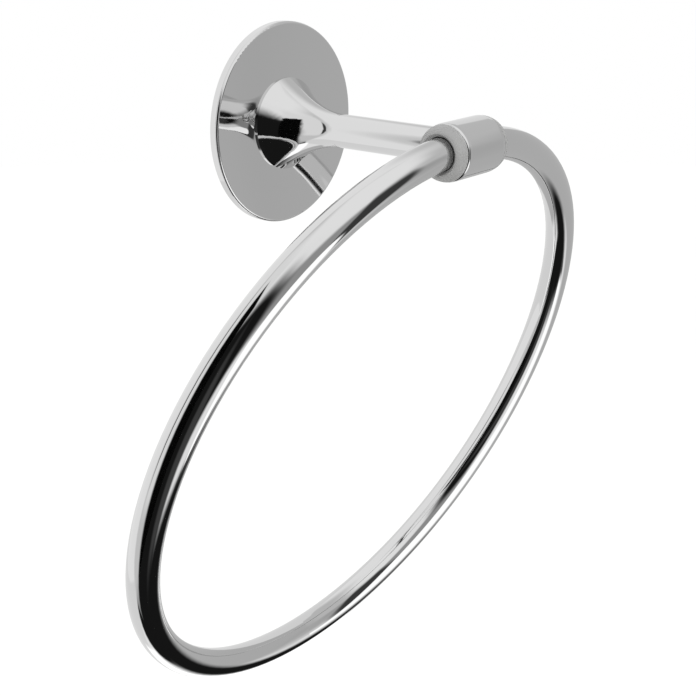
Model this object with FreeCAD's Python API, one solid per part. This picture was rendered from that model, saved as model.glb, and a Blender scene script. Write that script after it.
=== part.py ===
import FreeCAD, Part
import math
import os

# Towel ring on a round wall plate, in millimetres.
# The origin is the centre of the wall plate's back, on the wall.
# +Z is up, the post stands out along -Y, and the ring's barrel lies along X.

# Wall plate: a pressed dish, open at the back
plate_diameter = 61.5
plate_height = 2.75
plate_sheet = 1.2
plate_edge_round = 0.8
plate_inner_round = 0.4

# Mounting bracket behind the plate, screwed to the wall
bracket_flange_diameter = 30.0
bracket_land_diameter = 24.6
bracket_boss_diameter = 8.4
bracket_boss_reach = 8.0
bracket_boss_chamfer = 0.6
screw_hole_diameter = 4.4
screw_head_diameter = 7.2
screw_spacing = 16.0

# Post with its flared foot
post_diameter = 10.0
flare_diameter = 28.0
flare_rim_height = 0.55
flare_height = 21.5
foot_recess_depth = 0.8
foot_rim_width = 2.0
axis_from_wall = 69.0

# Grub screw under the foot
grub_diameter = 4.0
grub_length = 6.0
grub_key_width = 2.0
grub_key_depth = 2.2
grub_from_plate = 4.6
grub_point_depth = 0.7

# Barrel and its two end caps, built up round the rod; the domed ends begin on the barrel
barrel_wall = 1.75
barrel_length = 18.4
barrel_arris = 0.8
dome_length = 4.8
cap_length = 3.1
cap_arris = 0.3
cap_mouth_depth = 0.8
cap_mouth_flare = 0.75
cap_lip_width = 0.15
cap_spigot_length = 2.0
cap_spigot_wall = 1.5

# Space between the two nylon bushes inside the barrel
bush_spacing = 4.4

# Ring: a rod bent round, straight where it turns in the bushes and leaves the caps
rod_diameter = 9.5
ring_radius = 95.0
ring_bend_radius = 30.0
ring_straight_spare = 2.5
ring_end_gap = 0.6
dowel_diameter = 4.0
dowel_length = 14.0
dowel_chamfer = 0.4

# Clearances, on the radius unless said otherwise
plate_clearance = 0.2
boss_clearance = 0.15
thread_clearance = 0.05
press_clearance = 0.02
bush_clearance = 0.05
running_clearance = 0.08
nose_clearance = 0.12
braze_gap = 0.05
end_clearance = 0.5

# Post spigot that is brazed through the barrel's wall
spigot_diameter = 6.0
spigot_setback = 0.4

WALL_AXIS = FreeCAD.Vector(0, -1, 0)
BARREL_AXIS = FreeCAD.Vector(1, 0, 0)
WALL_CENTRE = FreeCAD.Vector(0, 0, 0)
BARREL_CENTRE = FreeCAD.Vector(0, -axis_from_wall, 0)
WHOLE_TURN = 360.0

rod_radius = rod_diameter / 2
plate_bore_radius = bracket_land_diameter / 2 + plate_clearance
joint_place = barrel_length / 2
cap_end = joint_place + cap_length
dome_start = cap_end - dome_length
throat_place = cap_end - cap_mouth_depth
bush_end = joint_place - cap_spigot_length
ring_straight_half = bush_end + ring_straight_spare
foot_back = plate_height
boss_tip = plate_height + bracket_boss_reach
grub_axis = plate_height + grub_from_plate


def ring_drop():
    """Distance from the barrel's axis down to the centre of the ring's big circle."""
    reach = ring_radius - ring_bend_radius
    return ring_bend_radius + math.sqrt(reach ** 2 - ring_straight_half ** 2)


def ring_bend_angle():
    """Angle in degrees that each small bend turns before the big circle takes over."""
    return math.degrees(math.asin(ring_straight_half / (ring_radius - ring_bend_radius)))


def rod_reach(distance):
    """Farthest that the rod comes from the barrel's axis, on its inner side, at a place along X."""
    inside_bend = ring_bend_radius - rod_radius
    past_straight = max(distance - ring_straight_half, 0)
    if past_straight < inside_bend * math.sin(math.radians(ring_bend_angle())):
        return ring_bend_radius - math.sqrt(inside_bend ** 2 - past_straight ** 2)
    return ring_drop() - math.sqrt((ring_radius - rod_radius) ** 2 - distance ** 2)


def hole_round_rod(distance):
    """Smallest radius that clears the curved rod, at a place along X, as it swings in a cap."""
    return rod_reach(distance) + nose_clearance


def cap_mouth_radius():
    """Radius of the funnel in a cap's nose, where it is widest."""
    return hole_round_rod(cap_end) + cap_mouth_flare


def cap_spigot_radius():
    """Radius of the spigot behind a cap."""
    return hole_round_rod(cap_end) + cap_spigot_wall


def barrel_bore_radius():
    """Radius of the hole through the barrel, into which the caps are pressed."""
    return cap_spigot_radius() + press_clearance


def barrel_radius():
    """Outside radius of the barrel."""
    return barrel_bore_radius() + barrel_wall


def ring_lean():
    """Angle in degrees from plumb at which the ring's lowest point touches the wall."""
    return math.degrees(math.asin((axis_from_wall - rod_radius) / (ring_drop() + ring_radius)))


def from_wall(distance, radius):
    """Point of a profile that is turned about the post's axis."""
    return FreeCAD.Vector(radius, -distance, 0)


def on_barrel(distance, radius):
    """Point of a profile that is turned about the barrel's axis."""
    return FreeCAD.Vector(distance, -axis_from_wall, radius)


def closed_profile(points):
    """Flat face inside straight edges from point to point."""
    return Part.Face(Part.makePolygon(points + points[:1]))


def turned_about_post(points):
    """Solid of revolution about the post's axis, from (distance from wall, radius) pairs."""
    profile = closed_profile([from_wall(distance, radius) for distance, radius in points])
    return profile.revolve(WALL_CENTRE, WALL_AXIS, WHOLE_TURN)


def turned_about_barrel(points):
    """Solid of revolution about the barrel's axis, from (distance along X, radius) pairs."""
    profile = closed_profile([on_barrel(distance, radius) for distance, radius in points])
    return profile.revolve(BARREL_CENTRE, BARREL_AXIS, WHOLE_TURN)


def post_cylinder(radius, start, end):
    """Cylinder on the post's axis between two distances from the wall."""
    return Part.makeCylinder(radius, end - start, from_wall(start, 0), WALL_AXIS)


def barrel_cylinder(radius, start, end):
    """Cylinder on the barrel's axis between two places along X."""
    return Part.makeCylinder(radius, end - start, on_barrel(start, 0), BARREL_AXIS)


def circular_edges(shape, radius, place, axis_of):
    """Round edges of one radius whose centre lies at one place along an axis."""
    chosen = []
    for edge in shape.Edges:
        curve = edge.Curve
        if isinstance(curve, Part.Circle) and abs(curve.Radius - radius) < 1e-6:
            if abs(axis_of(curve.Center) - place) < 1e-6:
                chosen.append(edge)
    return chosen


def distance_from_wall(point):
    """How far a point stands out from the wall."""
    return -point.y


def wall_plate():
    """Pressed round plate: a flat face with a short rounded skirt and a centre hole."""
    outer_radius = plate_diameter / 2
    inner_radius = outer_radius - plate_sheet
    inner_height = plate_height - plate_sheet
    disc = post_cylinder(outer_radius, 0, plate_height)
    rim = circular_edges(disc, outer_radius, plate_height, distance_from_wall)
    disc = disc.makeFillet(plate_edge_round, rim)
    pocket = post_cylinder(inner_radius, 0, inner_height)
    corner = circular_edges(pocket, inner_radius, inner_height, distance_from_wall)
    pocket = pocket.makeFillet(plate_inner_round, corner)
    return disc.cut([pocket, post_cylinder(plate_bore_radius, 0, plate_height)])


def mounting_bracket():
    """Turned bracket: flange under the plate, land in its hole, boss for the post, two screw holes."""
    flange_height = plate_height - plate_sheet
    land_radius = bracket_land_diameter / 2
    boss_radius = bracket_boss_diameter / 2
    blank = turned_about_post([
        (0, 0),
        (0, bracket_flange_diameter / 2),
        (flange_height, bracket_flange_diameter / 2),
        (flange_height, land_radius),
        (plate_height, land_radius),
        (plate_height, boss_radius),
        (grub_axis - grub_point_depth, boss_radius),
        (grub_axis, boss_radius - grub_point_depth),
        (grub_axis + grub_point_depth, boss_radius),
        (boss_tip - bracket_boss_chamfer, boss_radius),
        (boss_tip, boss_radius - bracket_boss_chamfer),
        (boss_tip, 0),
    ])
    hole_radius = screw_hole_diameter / 2
    head_radius = screw_head_diameter / 2
    sink_depth = head_radius - hole_radius
    for side in (-1, 1):
        back = FreeCAD.Vector(0, 0, side * screw_spacing / 2)
        front = back + WALL_AXIS * (plate_height - sink_depth)
        hole = Part.makeCylinder(hole_radius, plate_height, back, WALL_AXIS)
        sink = Part.makeCone(hole_radius, head_radius, sink_depth, front, WALL_AXIS)
        blank = blank.cut([hole, sink])
    return blank


def flared_blank():
    """Solid post from its foot's back to the barrel's axis, with a parabolic flare."""
    flare_radius = flare_diameter / 2
    post_radius = post_diameter / 2
    rim_top = foot_back + flare_rim_height
    post_end = from_wall(axis_from_wall, post_radius)
    flare = Part.BezierCurve()
    flare.setPoles([
        from_wall(rim_top, flare_radius),
        from_wall(rim_top + flare_height / 2, post_radius),
        from_wall(rim_top + flare_height, post_radius),
    ])
    edges = [
        Part.makeLine(from_wall(foot_back, 0), from_wall(foot_back, flare_radius)),
        Part.makeLine(from_wall(foot_back, flare_radius), from_wall(rim_top, flare_radius)),
        flare.toShape(),
        Part.makeLine(from_wall(rim_top + flare_height, post_radius), post_end),
        Part.makeLine(post_end, from_wall(axis_from_wall, 0)),
        Part.makeLine(from_wall(axis_from_wall, 0), from_wall(foot_back, 0)),
    ]
    return Part.Face(Part.Wire(edges)).revolve(WALL_CENTRE, WALL_AXIS, WHOLE_TURN)


def post():
    """Flared post: socket for the bracket, tapped hole for the grub screw, end notched to the barrel."""
    inside_blank = axis_from_wall - 2 * barrel_radius()
    spigot_end = axis_from_wall - barrel_bore_radius() - spigot_setback
    socket_radius = bracket_boss_diameter / 2 + boss_clearance
    blank = flared_blank()
    blank = blank.cut(barrel_cylinder(barrel_radius() + braze_gap, -barrel_length, barrel_length))
    blank = blank.fuse(post_cylinder(spigot_diameter / 2, inside_blank, spigot_end))
    recess = post_cylinder(flare_diameter / 2 - foot_rim_width, foot_back, foot_back + foot_recess_depth)
    socket = post_cylinder(socket_radius, foot_back, boss_tip + end_clearance)
    tapped = Part.makeCylinder(
        grub_diameter / 2 + thread_clearance,
        flare_diameter,
        from_wall(grub_axis, 0),
        FreeCAD.Vector(0, 0, -1),
    )
    return blank.cut([recess, socket, tapped]).removeSplitter()


def grub_screw():
    """Headless screw with a cone point and a hexagon socket, pointing up into the boss's groove."""
    radius = grub_diameter / 2
    point_start = bracket_boss_diameter / 2 - grub_point_depth + thread_clearance
    profile = closed_profile([
        FreeCAD.Vector(0, -grub_axis, -point_start),
        FreeCAD.Vector(radius, -grub_axis, -point_start - radius),
        FreeCAD.Vector(radius, -grub_axis, -point_start - grub_length),
        FreeCAD.Vector(0, -grub_axis, -point_start - grub_length),
    ])
    axis_point = FreeCAD.Vector(0, -grub_axis, 0)
    body = profile.revolve(axis_point, FreeCAD.Vector(0, 0, 1), WHOLE_TURN)
    corner_radius = grub_key_width / math.sqrt(3)
    corners = []
    for turn in range(6):
        angle = math.radians(60 * turn)
        corners.append(FreeCAD.Vector(
            corner_radius * math.cos(angle),
            -grub_axis + corner_radius * math.sin(angle),
            -point_start - grub_length,
        ))
    key = closed_profile(corners).extrude(FreeCAD.Vector(0, 0, grub_key_depth))
    return body.cut(key)


def sleeve_blank():
    """Barrel and caps as one solid: a cylinder whose ends are domes, each a quarter of an ellipse."""
    nose_radius = cap_mouth_radius() + cap_lip_width
    shoulder = on_barrel(dome_start, barrel_radius())
    nose_edge = on_barrel(cap_end, nose_radius)
    dome = Part.BezierCurve()
    dome.setPoles([shoulder, on_barrel(cap_end, barrel_radius()), nose_edge])
    dome.setWeight(2, math.sqrt(0.5))
    edges = [
        Part.makeLine(on_barrel(0, 0), on_barrel(0, barrel_radius())),
        Part.makeLine(on_barrel(0, barrel_radius()), shoulder),
        dome.toShape(),
        Part.makeLine(nose_edge, on_barrel(cap_end, 0)),
        Part.makeLine(on_barrel(cap_end, 0), on_barrel(0, 0)),
    ]
    half = Part.Face(Part.Wire(edges)).revolve(BARREL_CENTRE, BARREL_AXIS, WHOLE_TURN)
    return half.fuse(half.mirror(BARREL_CENTRE, BARREL_AXIS)).removeSplitter()


def joint_rounded(shape, arris):
    """Round the outer edges that lie in the joint planes between barrel and caps."""
    chosen = []
    for edge in shape.Edges:
        box = edge.BoundBox
        flat = box.XLength < 1e-3
        if flat and abs(abs(box.Center.x) - joint_place) < 1e-3 and box.ZLength > 2 * barrel_bore_radius():
            chosen.append(edge)
    return shape.makeFillet(arris, chosen)


def barrel():
    """Middle of the sleeve, bored through, with a hole for the post's spigot."""
    span = barrel_cylinder(2 * barrel_radius(), -joint_place, joint_place)
    body = joint_rounded(sleeve_blank().common(span), barrel_arris)
    bore = barrel_cylinder(barrel_bore_radius(), -joint_place, joint_place)
    outside = axis_from_wall - 2 * barrel_radius()
    spigot_hole = post_cylinder(spigot_diameter / 2 + press_clearance, outside, axis_from_wall)
    return body.cut([bore, spigot_hole])


def end_cap(side):
    """Domed plastic cap with a spigot in the barrel; the rod leaves through a funnel in its nose."""
    span = barrel_cylinder(2 * barrel_radius(), joint_place, cap_end)
    dome = joint_rounded(sleeve_blank().common(span), cap_arris)
    cap = dome.fuse(barrel_cylinder(cap_spigot_radius(), bush_end, joint_place + cap_arris))
    funnel = turned_about_barrel([
        (bush_end, 0),
        (bush_end, hole_round_rod(throat_place)),
        (throat_place, hole_round_rod(throat_place)),
        (cap_end, cap_mouth_radius()),
        (cap_end, 0),
    ])
    cap = cap.cut(funnel).removeSplitter()
    if side < 0:
        cap = cap.mirror(BARREL_CENTRE, BARREL_AXIS)
    return cap


def bush(side):
    """Plain nylon sleeve between a cap's spigot and the middle of the barrel."""
    outer = side * bush_end
    inner = side * bush_spacing / 2
    inside_radius = rod_radius + running_clearance
    outside_radius = barrel_bore_radius() - bush_clearance
    return turned_about_barrel([
        (inner, inside_radius),
        (inner, outside_radius),
        (outer, outside_radius),
        (outer, inside_radius),
    ])


def rod_section(centre):
    """Round face across the rod, facing along X."""
    return Part.Face(Part.Wire(Part.makeCircle(rod_radius, centre, BARREL_AXIS)))


def leaning(shape):
    """Move a shape built about the origin, hanging plumb, to the barrel and lean it on the wall."""
    shape.rotate(WALL_CENTRE, BARREL_AXIS, ring_lean())
    shape.translate(BARREL_CENTRE)
    return shape


def half_ring():
    """Right half of the rod, hanging plumb: straight end, small bend, then half of the big circle."""
    bend_axis = FreeCAD.Vector(0, 1, 0)
    bend_centre = FreeCAD.Vector(ring_straight_half, 0, -ring_bend_radius)
    ring_centre = FreeCAD.Vector(0, 0, -ring_drop())
    end_face = FreeCAD.Vector(ring_end_gap / 2, 0, 0)
    straight = Part.makeCylinder(rod_radius, ring_straight_half - ring_end_gap / 2, end_face, BARREL_AXIS)
    bend = rod_section(FreeCAD.Vector(ring_straight_half, 0, 0))
    bend = bend.revolve(bend_centre, bend_axis, ring_bend_angle())
    circle = rod_section(ring_centre + FreeCAD.Vector(0, 0, ring_radius))
    circle.rotate(ring_centre, bend_axis, ring_bend_angle())
    circle = circle.revolve(ring_centre, bend_axis, WHOLE_TURN / 2 - ring_bend_angle())
    return straight.fuse([bend, circle])


def ring():
    """Rod bent round, its two ends drilled for the dowel and facing each other inside the barrel."""
    right = half_ring()
    left = right.mirror(WALL_CENTRE, BARREL_AXIS)
    hole_half = dowel_length / 2 + end_clearance
    hole_start = FreeCAD.Vector(-hole_half, 0, 0)
    hole = Part.makeCylinder(dowel_diameter / 2 + press_clearance, 2 * hole_half, hole_start, BARREL_AXIS)
    return leaning(right.fuse(left).cut(hole).removeSplitter())


def ring_dowel():
    """Pin across the gap between the rod's ends, chamfered at both ends."""
    start = FreeCAD.Vector(-dowel_length / 2, 0, 0)
    pin = Part.makeCylinder(dowel_diameter / 2, dowel_length, start, BARREL_AXIS)
    return leaning(pin.makeChamfer(dowel_chamfer, [pin.Edges[0], pin.Edges[2]]))


nodes = {
    "wall_plate": wall_plate(),
    "mounting_bracket": mounting_bracket(),
    "post": post(),
    "grub_screw": grub_screw(),
    "barrel": barrel(),
    "left_end_cap": end_cap(-1),
    "right_end_cap": end_cap(1),
    "left_bush": bush(-1),
    "right_bush": bush(1),
    "ring": ring(),
    "ring_dowel": ring_dowel(),
}

os.makedirs("parts", exist_ok=True)
for name, shape in nodes.items():
    shape.exportStep("parts/" + name + ".step")
    print(name, "valid", shape.isValid(), "solids", len(shape.Solids), "volume mm3", round(shape.Volume, 1))
print("ring leans", round(ring_lean(), 2), "degrees, centre", round(ring_drop(), 2), "mm below the barrel")
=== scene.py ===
# %% [markdown]
# # A chrome towel ring
# The object is a ring of bright chromed rod that swings in a short barrel. The barrel sits
# at the end of a post with a trumpet-shaped foot, and the foot stands on a round wall plate.
# The CAD frame holds every piece at its real size. This scene gives each surface its finish,
# and sets up the studio that the polished metal mirrors.

# %% Load the frame
import math
import bpy
import numpy as np
from mathutils import Matrix, Vector

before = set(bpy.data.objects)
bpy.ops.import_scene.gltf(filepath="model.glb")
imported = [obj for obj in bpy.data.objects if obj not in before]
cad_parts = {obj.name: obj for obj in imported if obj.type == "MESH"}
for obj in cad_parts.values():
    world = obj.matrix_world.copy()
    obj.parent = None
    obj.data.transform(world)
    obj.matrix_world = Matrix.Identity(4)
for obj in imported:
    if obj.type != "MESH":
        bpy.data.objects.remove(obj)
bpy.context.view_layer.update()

MM = 0.001
print("CAD nodes:", ", ".join(sorted(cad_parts)))

# %% [markdown]
# ## Colours and nodes
# A colour picked on a screen is an sRGB value, while a renderer adds up light, so every hex
# value goes through the sRGB curve once. One small function adds a shader node, sets its
# inputs and makes its links, which keeps each material readable as a short list.

# %% Helpers for materials


def linear(hex_colour):
    """Linear RGBA from sRGB hex: ((c + 0.055) / 1.055) to the power 2.4 above the curve's foot."""
    channels = np.array([int(hex_colour[i:i + 2], 16) for i in (1, 3, 5)]) / 255
    curved = ((channels + 0.055) / 1.055) ** 2.4
    return (*np.where(channels <= 0.04045, channels / 12.92, curved), 1.0)


def add(tree, kind, inputs=None, **settings):
    """Add one node. An input that is another node's socket is linked, and any other is set."""
    node = tree.nodes.new(kind)
    for name, value in settings.items():
        setattr(node, name, value)
    for name, value in (inputs or {}).items():
        socket = node.inputs[name]
        if isinstance(value, bpy.types.NodeSocket):
            tree.links.new(value, socket)
        else:
            socket.default_value = value
    return node


def new_material(name):
    """Material with an empty node tree and its output node."""
    material = bpy.data.materials.new(name)
    material.use_nodes = True
    material.node_tree.nodes.clear()
    return material, material.node_tree, add(material.node_tree, "ShaderNodeOutputMaterial")


def object_place(tree, stretch=(1.0, 1.0, 1.0)):
    """The point's place on the object in metres, with each axis multiplied by a stretch."""
    place = add(tree, "ShaderNodeTexCoord").outputs["Object"]
    return add(tree, "ShaderNodeMapping", {"Vector": place, "Scale": stretch}).outputs["Vector"]


def per_metre(size_mm):
    """Scale of a pattern whose features are this many millimetres across."""
    return 1 / (size_mm * MM)


# %% [markdown]
# ## Bright chrome
# Decorative chrome is a layer under a thousandth of a millimetre thick, plated over nickel on
# buffed brass. It mirrors about seven tenths of the light with no tint. Two things set it
# apart from a computed mirror. The buffing wheel leaves waves some centimetre long and a few
# thousandths of a millimetre high, so the edges of reflections waver. Wiping leaves a thin
# haze in broad patches, so they are a little softer here than there. The waves are a bump,
# and the haze is a small change of roughness.

# %% Chrome
BUFFING_WAVE_MM = 9
BUFFING_HEIGHT_MM = 0.006
WIPED_PATCH_MM = 22
CLEAN_ROUGHNESS = 0.02
HAZY_ROUGHNESS = 0.05


def bright_chrome():
    """Chromium plate on buffed brass: a neutral mirror with slow waves and a faint wiped haze."""
    material, tree, output = new_material("bright_chrome_on_buffed_brass")
    place = object_place(tree)
    waves = add(tree, "ShaderNodeTexNoise", {
        "Vector": place, "Scale": per_metre(BUFFING_WAVE_MM), "Detail": 1.0, "Roughness": 0.3})
    bump = add(tree, "ShaderNodeBump", {
        "Height": waves.outputs["Fac"], "Strength": 1.0, "Distance": BUFFING_HEIGHT_MM * MM})
    patches = add(tree, "ShaderNodeTexNoise", {
        "Vector": place, "Scale": per_metre(WIPED_PATCH_MM), "Detail": 3.0, "Roughness": 0.6})
    haze = add(tree, "ShaderNodeMapRange", {
        "Value": patches.outputs["Fac"], "From Min": 0.35, "From Max": 0.7,
        "To Min": CLEAN_ROUGHNESS, "To Max": HAZY_ROUGHNESS})
    metal = add(tree, "ShaderNodeBsdfPrincipled", {
        "Base Color": linear("#dcdcdc"),
        "Metallic": 1.0,
        "Roughness": haze.outputs["Result"],
        "Normal": bump.outputs["Normal"],
    })
    tree.links.new(metal.outputs["BSDF"], output.inputs["Surface"])
    return material


chrome = bright_chrome()
for node in ("wall_plate", "post", "barrel", "ring"):
    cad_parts[node].data.materials[0] = chrome
print("chrome waves:", BUFFING_WAVE_MM, "mm long,", BUFFING_HEIGHT_MM, "mm high")

# %% [markdown]
# ## Cast zinc
# The bracket behind the plate is die-cast zinc alloy and is left as it comes from the die. Its
# skin is dull and slightly grainy, with paler and darker patches where the metal froze faster
# or slower.

# %% Zinc
CASTING_GRAIN_MM = 0.5
CASTING_GRAIN_HEIGHT_MM = 0.04
CASTING_PATCH_MM = 6


def die_cast_zinc():
    """Raw die-cast zinc: grey metal, dull, with a fine grain and slow patches of tone."""
    material, tree, output = new_material("raw_die_cast_zinc")
    place = object_place(tree)
    patches = add(tree, "ShaderNodeTexNoise", {
        "Vector": place, "Scale": per_metre(CASTING_PATCH_MM), "Detail": 4.0, "Roughness": 0.65})
    tone = add(tree, "ShaderNodeMix", {
        "Factor": patches.outputs["Fac"]}, data_type="RGBA")
    tone.inputs["A"].default_value = linear("#85888c")
    tone.inputs["B"].default_value = linear("#a6a9ac")
    grain = add(tree, "ShaderNodeTexNoise", {
        "Vector": place, "Scale": per_metre(CASTING_GRAIN_MM), "Detail": 2.0})
    bump = add(tree, "ShaderNodeBump", {
        "Height": grain.outputs["Fac"], "Strength": 1.0, "Distance": CASTING_GRAIN_HEIGHT_MM * MM})
    dullness = add(tree, "ShaderNodeMapRange", {
        "Value": patches.outputs["Fac"], "To Min": 0.42, "To Max": 0.62})
    metal = add(tree, "ShaderNodeBsdfPrincipled", {
        "Base Color": tone.outputs["Result"],
        "Metallic": 1.0,
        "Roughness": dullness.outputs["Result"],
        "Normal": bump.outputs["Normal"],
    })
    tree.links.new(metal.outputs["BSDF"], output.inputs["Surface"])
    return material


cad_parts["mounting_bracket"].data.materials[0] = die_cast_zinc()

# %% [markdown]
# ## Turned stainless steel
# The grub screw and the dowel are turned from stainless bar. The tool leaves fine rings round
# the axis, so the steel shines softly along its length. A wave of bands along that axis draws
# them, much coarser than real so that they show. A wave texture turns through 20 radians for
# each unit of its scale, so the scale is a full turn over 20 times the distance of the marks.

# %% Steel
TOOL_MARK_MM = 1.57
TOOL_MARK_HEIGHT_MM = 0.004
WAVE_RADIANS = 20


def turned_steel(name, axis):
    """Stainless bar turned round an axis: bands along it move the roughness and a small bump."""
    material, tree, output = new_material(name)
    bands = add(tree, "ShaderNodeTexWave", {
        "Vector": object_place(tree), "Scale": math.tau / WAVE_RADIANS * per_metre(TOOL_MARK_MM),
        "Distortion": 0.6, "Detail": 2.0}, bands_direction=axis)
    bump = add(tree, "ShaderNodeBump", {
        "Height": bands.outputs["Fac"], "Strength": 1.0, "Distance": TOOL_MARK_HEIGHT_MM * MM})
    shine = add(tree, "ShaderNodeMapRange", {
        "Value": bands.outputs["Fac"], "To Min": 0.22, "To Max": 0.36})
    metal = add(tree, "ShaderNodeBsdfPrincipled", {
        "Base Color": linear("#b9b6b1"),
        "Metallic": 1.0,
        "Roughness": shine.outputs["Result"],
        "Normal": bump.outputs["Normal"],
    })
    tree.links.new(metal.outputs["BSDF"], output.inputs["Surface"])
    return material


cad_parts["grub_screw"].data.materials[0] = turned_steel("turned_stainless_grub_screw", "Z")
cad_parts["ring_dowel"].data.materials[0] = turned_steel("turned_stainless_dowel", "X")

# %% [markdown]
# ## Moulded acetal
# The end caps are the one part that does not mirror: they are even, soft grey domes. That is
# acetal, the slippery plastic that such caps are moulded from so that the rod turns without a
# scratch. It has a satin skin from a finely blasted mould, so it is drawn as a matt grey with a
# broad, weak highlight and a very fine grain. It is also a little milky: light goes about a
# millimetre deep before it comes out again, which softens the shade in the mouth round the rod.

# %% Acetal
BLASTED_GRAIN_MM = 0.3
BLASTED_HEIGHT_MM = 0.008
FLOW_PATCH_MM = 7
LIGHT_REACH_MM = 1.2


def moulded_acetal():
    """Grey acetal from a finely blasted mould: satin, even, with a grain that barely shows."""
    material, tree, output = new_material("moulded_grey_acetal")
    place = object_place(tree)
    grain = add(tree, "ShaderNodeTexNoise", {
        "Vector": place, "Scale": per_metre(BLASTED_GRAIN_MM), "Detail": 2.0})
    flow = add(tree, "ShaderNodeTexNoise", {
        "Vector": place, "Scale": per_metre(FLOW_PATCH_MM), "Detail": 2.0})
    grey = add(tree, "ShaderNodeMix", {"Factor": flow.outputs["Fac"]}, data_type="RGBA")
    grey.inputs["A"].default_value = linear("#a2a2a2")
    grey.inputs["B"].default_value = linear("#afafae")
    bump = add(tree, "ShaderNodeBump", {
        "Height": grain.outputs["Fac"], "Strength": 1.0, "Distance": BLASTED_HEIGHT_MM * MM})
    satin = add(tree, "ShaderNodeMapRange", {
        "Value": grain.outputs["Fac"], "To Min": 0.42, "To Max": 0.54})
    plastic = add(tree, "ShaderNodeBsdfPrincipled", {
        "Base Color": grey.outputs["Result"],
        "Roughness": satin.outputs["Result"],
        "IOR": 1.48,
        "Subsurface Weight": 0.5,
        "Subsurface Radius": (1.0, 1.0, 1.0),
        "Subsurface Scale": LIGHT_REACH_MM * MM,
        "Normal": bump.outputs["Normal"],
    })
    tree.links.new(plastic.outputs["BSDF"], output.inputs["Surface"])
    return material


acetal = moulded_acetal()
for node in ("left_end_cap", "right_end_cap"):
    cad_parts[node].data.materials[0] = acetal

# %% [markdown]
# ## Moulded nylon
# The two bushes that the rod turns in are injection-moulded nylon. Nylon is milky and a little
# waxy: it is not quite white, its gloss is low, and the tool leaves a very fine texture.

# %% Nylon
MOULD_TEXTURE_MM = 0.35
MOULD_TEXTURE_HEIGHT_MM = 0.01


def moulded_nylon():
    """Natural nylon from a mould: milky, waxy, with a fine eggshell texture."""
    material, tree, output = new_material("moulded_natural_nylon")
    texture = add(tree, "ShaderNodeTexNoise", {
        "Vector": object_place(tree), "Scale": per_metre(MOULD_TEXTURE_MM), "Detail": 2.0})
    milk = add(tree, "ShaderNodeMix", {"Factor": texture.outputs["Fac"]}, data_type="RGBA")
    milk.inputs["A"].default_value = linear("#d9d8cc")
    milk.inputs["B"].default_value = linear("#e6e5dc")
    bump = add(tree, "ShaderNodeBump", {
        "Height": texture.outputs["Fac"], "Strength": 1.0, "Distance": MOULD_TEXTURE_HEIGHT_MM * MM})
    plastic = add(tree, "ShaderNodeBsdfPrincipled", {
        "Base Color": milk.outputs["Result"],
        "Roughness": 0.48,
        "IOR": 1.53,
        "Normal": bump.outputs["Normal"],
    })
    tree.links.new(plastic.outputs["BSDF"], output.inputs["Surface"])
    return material


nylon = moulded_nylon()
for node in ("left_bush", "right_bush"):
    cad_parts[node].data.materials[0] = nylon
print("materials:", ", ".join(sorted(m.name for m in bpy.data.materials if m.users)))

# %% [markdown]
# ## The camera
# The photograph was taken from the left, a little above the barrel, with a moderate telephoto.
# The place and the lens come from matching the ring's and the plate's outlines.

# %% Camera
CAMERA_PLACE_MM = (-318.54, -286.86, 73.57)
CAMERA_AZIMUTH = -50.789
CAMERA_ELEVATION = 19.039
CAMERA_ROLL = 0.139
CAMERA_LENS_MM = 71.486
NEAREST_SEEN_MM = 10

camera = bpy.data.objects.new("camera", bpy.data.cameras.new("camera"))
bpy.context.scene.collection.objects.link(camera)
camera.data.lens = CAMERA_LENS_MM
camera.data.clip_start = NEAREST_SEEN_MM * MM
turn = Matrix.Rotation(math.radians(CAMERA_AZIMUTH), 4, "Z")
tilt = Matrix.Rotation(math.radians(90 - CAMERA_ELEVATION), 4, "X")
roll = Matrix.Rotation(math.radians(-CAMERA_ROLL), 4, "Z")
camera.matrix_world = Matrix.Translation(Vector(CAMERA_PLACE_MM) * MM) @ turn @ tilt @ roll
bpy.context.scene.camera = camera
print("camera:", CAMERA_LENS_MM, "mm lens,", round(camera.location.length, 2), "m away")

# %% [markdown]
# ## The white room
# The room is white all round. The camera and the chrome see it at strength 1, which is plain
# white. As a lamp it is a little weaker, so that it and the soft key lamp together light a
# matt surface about as its colour is written.

# %% World
ROOM_LIGHT = 0.8

world = bpy.data.worlds.new("white_room")
bpy.context.scene.world = world
world.use_nodes = True
room = world.node_tree
room.nodes.clear()
ray = add(room, "ShaderNodeLightPath")
seen = add(room, "ShaderNodeMath", {
    0: ray.outputs["Is Camera Ray"], 1: ray.outputs["Is Glossy Ray"]}, operation="MAXIMUM")
seen = add(room, "ShaderNodeMath", {
    0: seen.outputs["Value"], 1: ray.outputs["Is Transmission Ray"]}, operation="MAXIMUM")
strength = add(room, "ShaderNodeMapRange", {
    "Value": seen.outputs["Value"], "To Min": ROOM_LIGHT, "To Max": 1.0})
white = add(room, "ShaderNodeBackground", {
    "Color": linear("#ffffff"), "Strength": strength.outputs["Result"]})
add(room, "ShaderNodeOutputWorld", {"Surface": white.outputs["Background"]})
bpy.context.scene.view_settings.view_transform = "Standard"

# %% [markdown]
# ## The key lamp
# One large round lamp, up on the left, gives the matt parts a light side and a soft shade. The
# chrome does not see it: what the chrome mirrors is set up further down.

# %% Key lamp
KEY_PLACE = Vector((-0.9, -1.0, 1.1))
KEY_SIZE = 0.7
KEY_WATTS = 9

key = bpy.data.objects.new("key_lamp", bpy.data.lights.new("key_lamp", "AREA"))
bpy.context.scene.collection.objects.link(key)
key.data.shape = "DISK"
key.data.size = KEY_SIZE
key.data.energy = KEY_WATTS
key.location = KEY_PLACE
key.rotation_euler = KEY_PLACE.to_track_quat("Z", "Y").to_euler()
key.visible_glossy = False
key.visible_camera = False

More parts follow.
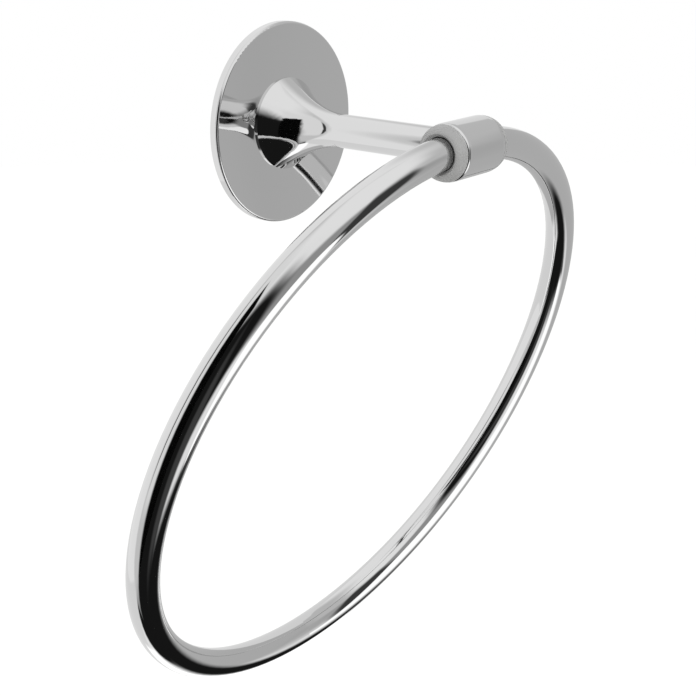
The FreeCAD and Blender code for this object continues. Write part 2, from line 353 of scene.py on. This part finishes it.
# %% [markdown]
# ## The floor
# A towel ring hangs about 1.2 m above the floor, so the pale floor lies that far below. It is
# matt and nearly white, and keeps the soft shadow of the ring. For the camera alone it glows
# a little, so that it reads as white as the room.

# %% Floor
FLOOR_BELOW = 1.2
FLOOR_RADIUS = 6.0
FLOOR_GLOW = 0.3
ROLLER_PATCH_MM = 300


def floor_disc(radius, height, rings=24, sides=96):
    """Flat disc: points at (r cos t, r sin t, height) for rings of r and steps of the turn t."""
    r = np.linspace(0, radius, rings + 1)[1:]
    t = np.linspace(0, math.tau, sides, endpoint=False)
    rim = np.stack([np.outer(r, np.cos(t)), np.outer(r, np.sin(t))], axis=-1).reshape(-1, 2)
    points = np.column_stack([np.vstack([[0, 0], rim]), np.full(len(rim) + 1, height)])
    here = np.arange(sides)
    then = (here + 1) % sides
    middle = np.column_stack([np.zeros(sides, int), here + 1, then + 1])
    step = np.arange(rings - 1)[:, None] * sides + 1
    corners = [step + here, step + sides + here, step + sides + then, step + then]
    bands = np.stack(corners, axis=-1).reshape(-1, 4)
    mesh = bpy.data.meshes.new("floor")
    mesh.from_pydata(points.tolist(), [], middle.tolist() + bands.tolist())
    return mesh


def matt_floor_paint():
    """Pale matt floor paint: nearly white, with a very faint unevenness of the roller."""
    material, tree, output = new_material("matt_floor_paint")
    uneven = add(tree, "ShaderNodeTexNoise", {
        "Vector": object_place(tree), "Scale": per_metre(ROLLER_PATCH_MM), "Detail": 2.0})
    paint = add(tree, "ShaderNodeMix", {"Factor": uneven.outputs["Fac"]}, data_type="RGBA")
    paint.inputs["A"].default_value = linear("#f2f2f1")
    paint.inputs["B"].default_value = linear("#f6f6f5")
    matt = add(tree, "ShaderNodeBsdfDiffuse", {"Color": paint.outputs["Result"]})
    camera_ray = add(tree, "ShaderNodeLightPath").outputs["Is Camera Ray"]
    glow = add(tree, "ShaderNodeMath", {0: camera_ray, 1: FLOOR_GLOW}, operation="MULTIPLY")
    lit = add(tree, "ShaderNodeEmission", {
        "Color": linear("#ffffff"), "Strength": glow.outputs["Value"]})
    both = add(tree, "ShaderNodeAddShader", {0: matt.outputs["BSDF"], 1: lit.outputs["Emission"]})
    tree.links.new(both.outputs["Shader"], output.inputs["Surface"])
    return material


floor = bpy.data.objects.new("floor", floor_disc(FLOOR_RADIUS, -FLOOR_BELOW))
bpy.context.scene.collection.objects.link(floor)
floor.data.materials.append(matt_floor_paint())
floor.visible_glossy = False

# %% [markdown]
# ## What the chrome mirrors
# Polished chrome has no colour of its own: it looks like whatever stands round it. In a room
# that is white all round the ring would be a pale ghost, so a photographer stands grey and
# black boards beside the camera and a bright reflector under it. Their mirror images are the
# dark and light bands along the rod. Here the boards hang on the inside of a round white tent,
# which only reflections can see. The tent is one sphere whose points carry a brightness, and
# each board is a rounded patch with a soft edge that is laid over the ones before it. A fit of
# the reflections to the photograph found roughly where each board stands. The table keeps that
# on a coarse grid, with a few boards changed since.

# %% Tent and boards
TENT_CENTRE = np.array([0.0, -0.035, -0.085])
TENT_RADIUS = 0.38
TENT_WHITE = 0.98
TENT_STEPS = 480
BOARDS = (
    # name, azimuth, elevation, half width, half height, turned, squareness, softness, brightness
    ("grey board on the right", 80, 15, 50, 50, 10, 4, 0.4, 0.62),
    ("second grey board, leaning", 95, -15, 60, 40, -50, 2, 0.15, 0.53),
    ("pale cloth behind the wall plate", 155, -20, 80, 20, -50, 2, 0.05, 0.85),
    ("black drape, low on the left", -70, -35, 65, 25, 90, 2, 0.1, 0.01),
    ("dim middle of the room", -20, 5, 60, 20, 0, 6, 0.7, 0.35),
    ("grey cloth on the left", -105, 20, 20, 80, 0, 4, 0.4, 0.7),
    ("paler cloth over it", -100, 25, 20, 45, -5, 4, 0.3, 0.9),
    ("black flag on the left", -55, -5, 35, 45, 0, 2, 0.5, 0.01),
    ("dark grey patch in the flag", -40, -35, 10, 50, 15, 2, 0.8, 0.06),
    ("dark gap beside the grey board", 25, -15, 11, 45, 10, 8, 0.5, 0.05),
    ("black table top", 55, -70, 30, 20, 25, 2, 0.7, 0.01),
    ("lit reflector under the camera", 20, -30, 15, 25, 40, 4, 0.1, 1.4),
    ("dark pole behind the cloth", -120, 20, 2.5, 30, 5, 2, 0.5, 0.05),
    ("white cloth overhead", -10, 65, 30, 20, -60, 4, 0.6, 1.0),
)


def towards(azimuth, elevation):
    """Unit direction (sin a cos e, -cos a cos e, sin e) from an azimuth and an elevation."""
    a, e = np.radians(azimuth), np.radians(elevation)
    return np.stack([np.sin(a) * np.cos(e), -np.cos(a) * np.cos(e), np.sin(e)], axis=-1)


def eased(step):
    """Smooth step 3 s^2 - 2 s^3 of a number that is first held between 0 and 1."""
    step = np.clip(step, 0, 1)
    return step * step * (3 - 2 * step)


def board_cover(points, azimuth, elevation, half_width, half_height, turned, squareness, softness):
    """Share of the board over each point: u and v are the angles from its middle, the reach is
    (|u/width|^p + |v/height|^p)^(1/p), and a smooth step takes it from 1 to 0 round reach 1."""
    ahead = towards(azimuth, elevation)
    level = np.array([math.cos(math.radians(azimuth)), math.sin(math.radians(azimuth)), 0.0])
    upright = -np.cross(level, ahead)
    t = math.radians(turned)
    right = math.cos(t) * level + math.sin(t) * upright
    up = math.cos(t) * upright - math.sin(t) * level
    u = np.degrees(np.arctan2(points @ right, points @ ahead)) / half_width
    v = np.degrees(np.arcsin(np.clip(points @ up, -1, 1))) / half_height
    reach = (np.abs(u) ** squareness + np.abs(v) ** squareness) ** (1 / squareness)
    return eased((1 - reach) / softness + 0.5)


def tent():
    """Sphere of points centre + radius x direction, with the boards' brightness on each point."""
    azimuth = np.linspace(-180, 180, TENT_STEPS, endpoint=False)
    elevation = np.linspace(-90, 90, TENT_STEPS // 2 + 1)[1:-1]
    rows = towards(*np.meshgrid(azimuth, elevation)).reshape(-1, 3)
    points = np.vstack([rows, [[0, 0, -1], [0, 0, 1]]])
    brightness = np.full(len(points), TENT_WHITE)
    for _, *shape, level in BOARDS:
        share = board_cover(points, *shape)
        brightness += share * (level - brightness)
    corner = np.arange(TENT_STEPS)
    after = (corner + 1) % TENT_STEPS
    row = np.arange(len(elevation) - 1)[:, None] * TENT_STEPS
    quads = np.stack([row + corner, row + TENT_STEPS + corner, row + TENT_STEPS + after, row + after], -1)
    last = len(rows) - TENT_STEPS
    bottom = np.stack([corner, after, np.full(TENT_STEPS, len(rows))], -1)
    top = np.stack([last + after, last + corner, np.full(TENT_STEPS, len(rows) + 1)], -1)
    mesh = bpy.data.meshes.new("tent")
    faces = quads.reshape(-1, 4).tolist() + bottom.tolist() + top.tolist()
    mesh.from_pydata((TENT_CENTRE + TENT_RADIUS * points).tolist(), [], faces)
    mesh.attributes.new("brightness", "FLOAT", "POINT").data.foreach_set("value", brightness)
    print("tent:", len(BOARDS), "boards, mean brightness", round(float(brightness.mean()), 2))
    return mesh


def lit_tent_cloth():
    """Cloth and boards lit from outside: they glow at the brightness that each point carries."""
    material, tree, output = new_material("lit_tent_cloth")
    glow = add(tree, "ShaderNodeEmission", {
        "Color": linear("#ffffff"),
        "Strength": add(tree, "ShaderNodeAttribute", attribute_name="brightness").outputs["Fac"]})
    tree.links.new(glow.outputs["Emission"], output.inputs["Surface"])
    material.cycles.emission_sampling = "NONE"
    return material


def hang_in_studio(name, mesh, material):
    """Stage object that only reflections can see."""
    hung = bpy.data.objects.new(name, mesh)
    bpy.context.scene.collection.objects.link(hung)
    hung.data.materials.append(material)
    hung.visible_camera = False
    hung.visible_diffuse = False
    hung.visible_transmission = False
    hung.visible_shadow = False


hang_in_studio("studio_tent", tent(), lit_tent_cloth())

# %% [markdown]
# ## Two sheets close by
# Two things in the reflections can't be on the far tent. The post's flare and the ring's left
# side both mirror one upright edge, where black ends and white begins. The flare shows it almost
# straight to the left, and the ring shows it further back. Two lines of sight that differ so
# much cross close by, so the edge belongs to a sheet of black velvet that hangs near the ring.
# And only the ring's lowest bend has a bright rim that melts into the background. That takes a
# lit white card just under it, which the rest of the ring hardly sees. The edges of both sheets
# fade out over some millimetres, as they do when a thing is that near and out of focus.

# %% Near sheets
SHEET_STEPS = 96

VELVET_REAR_EDGE_MM = (-183, -22, -287)
VELVET_AZIMUTH = -44
VELVET_LENGTH_MM = 137
VELVET_HEIGHT_MM = 431
VELVET_FADE_MM = 20

CARD_CORNER_MM = (-75, -2, -215)
CARD_WIDTH_MM = 135
CARD_DEPTH_MM = 32
CARD_FADE_MM = 8
CARD_BRIGHTNESS = 1.4


def fading_sheet(name, corner, along, across, fade):
    """Flat sheet: points corner + u x along + v x across, with lengths u and v in millimetres
    and a cover that fades out by a smooth step over each of the four edges."""
    corner, along, across = (np.array(vector, float) for vector in (corner, along, across))
    length, width = np.linalg.norm(along), np.linalg.norm(across)
    u, v = (grid.ravel() for grid in np.meshgrid(
        np.linspace(-fade / 2, length + fade / 2, SHEET_STEPS),
        np.linspace(-fade / 2, width + fade / 2, SHEET_STEPS)))
    points = corner + np.outer(u, along / length) + np.outer(v, across / width)
    cover = eased(np.minimum(u, length - u) / fade + 0.5) * eased(np.minimum(v, width - v) / fade + 0.5)
    first = (np.arange(SHEET_STEPS - 1)[:, None] * SHEET_STEPS + np.arange(SHEET_STEPS - 1)).ravel()
    faces = np.stack([first, first + 1, first + SHEET_STEPS + 1, first + SHEET_STEPS], -1)
    mesh = bpy.data.meshes.new(name)
    mesh.from_pydata((points * MM).tolist(), [], faces.tolist())
    mesh.attributes.new("cover", "FLOAT", "POINT").data.foreach_set("value", cover)
    print(name + ":", round(length), "by", round(width), "mm")
    return mesh


def fade_out(tree, output, surface):
    """Mix a surface with nothing at all, by the cover that each point carries."""
    nothing = add(tree, "ShaderNodeBsdfTransparent")
    cover = add(tree, "ShaderNodeAttribute", attribute_name="cover")
    faded = add(tree, "ShaderNodeMixShader", {0: cover.outputs["Fac"], 1: nothing.outputs[0], 2: surface})
    tree.links.new(faded.outputs["Shader"], output.inputs["Surface"])


def black_velvet():
    """Black velvet: its pile swallows nearly all the light."""
    material, tree, output = new_material("black_velvet")
    fade_out(tree, output, add(tree, "ShaderNodeBsdfDiffuse", {"Color": linear("#0b0b0b")}).outputs[0])
    return material


def lit_white_card():
    """White card under a lamp of its own: brighter than the room."""
    material, tree, output = new_material("lit_white_card")
    fade_out(tree, output, add(tree, "ShaderNodeEmission", {
        "Color": linear("#ffffff"), "Strength": CARD_BRIGHTNESS}).outputs[0])
    material.cycles.emission_sampling = "NONE"
    return material


velvet_run = VELVET_LENGTH_MM * towards(VELVET_AZIMUTH, 0)
velvet = fading_sheet(
    "velvet_sheet", VELVET_REAR_EDGE_MM, velvet_run, (0, 0, VELVET_HEIGHT_MM), VELVET_FADE_MM)
hang_in_studio("velvet_sheet", velvet, black_velvet())

card = fading_sheet(
    "white_card", CARD_CORNER_MM, (CARD_WIDTH_MM, 0, 0), (0, CARD_DEPTH_MM, 0), CARD_FADE_MM)
hang_in_studio("white_card", card, lit_white_card())
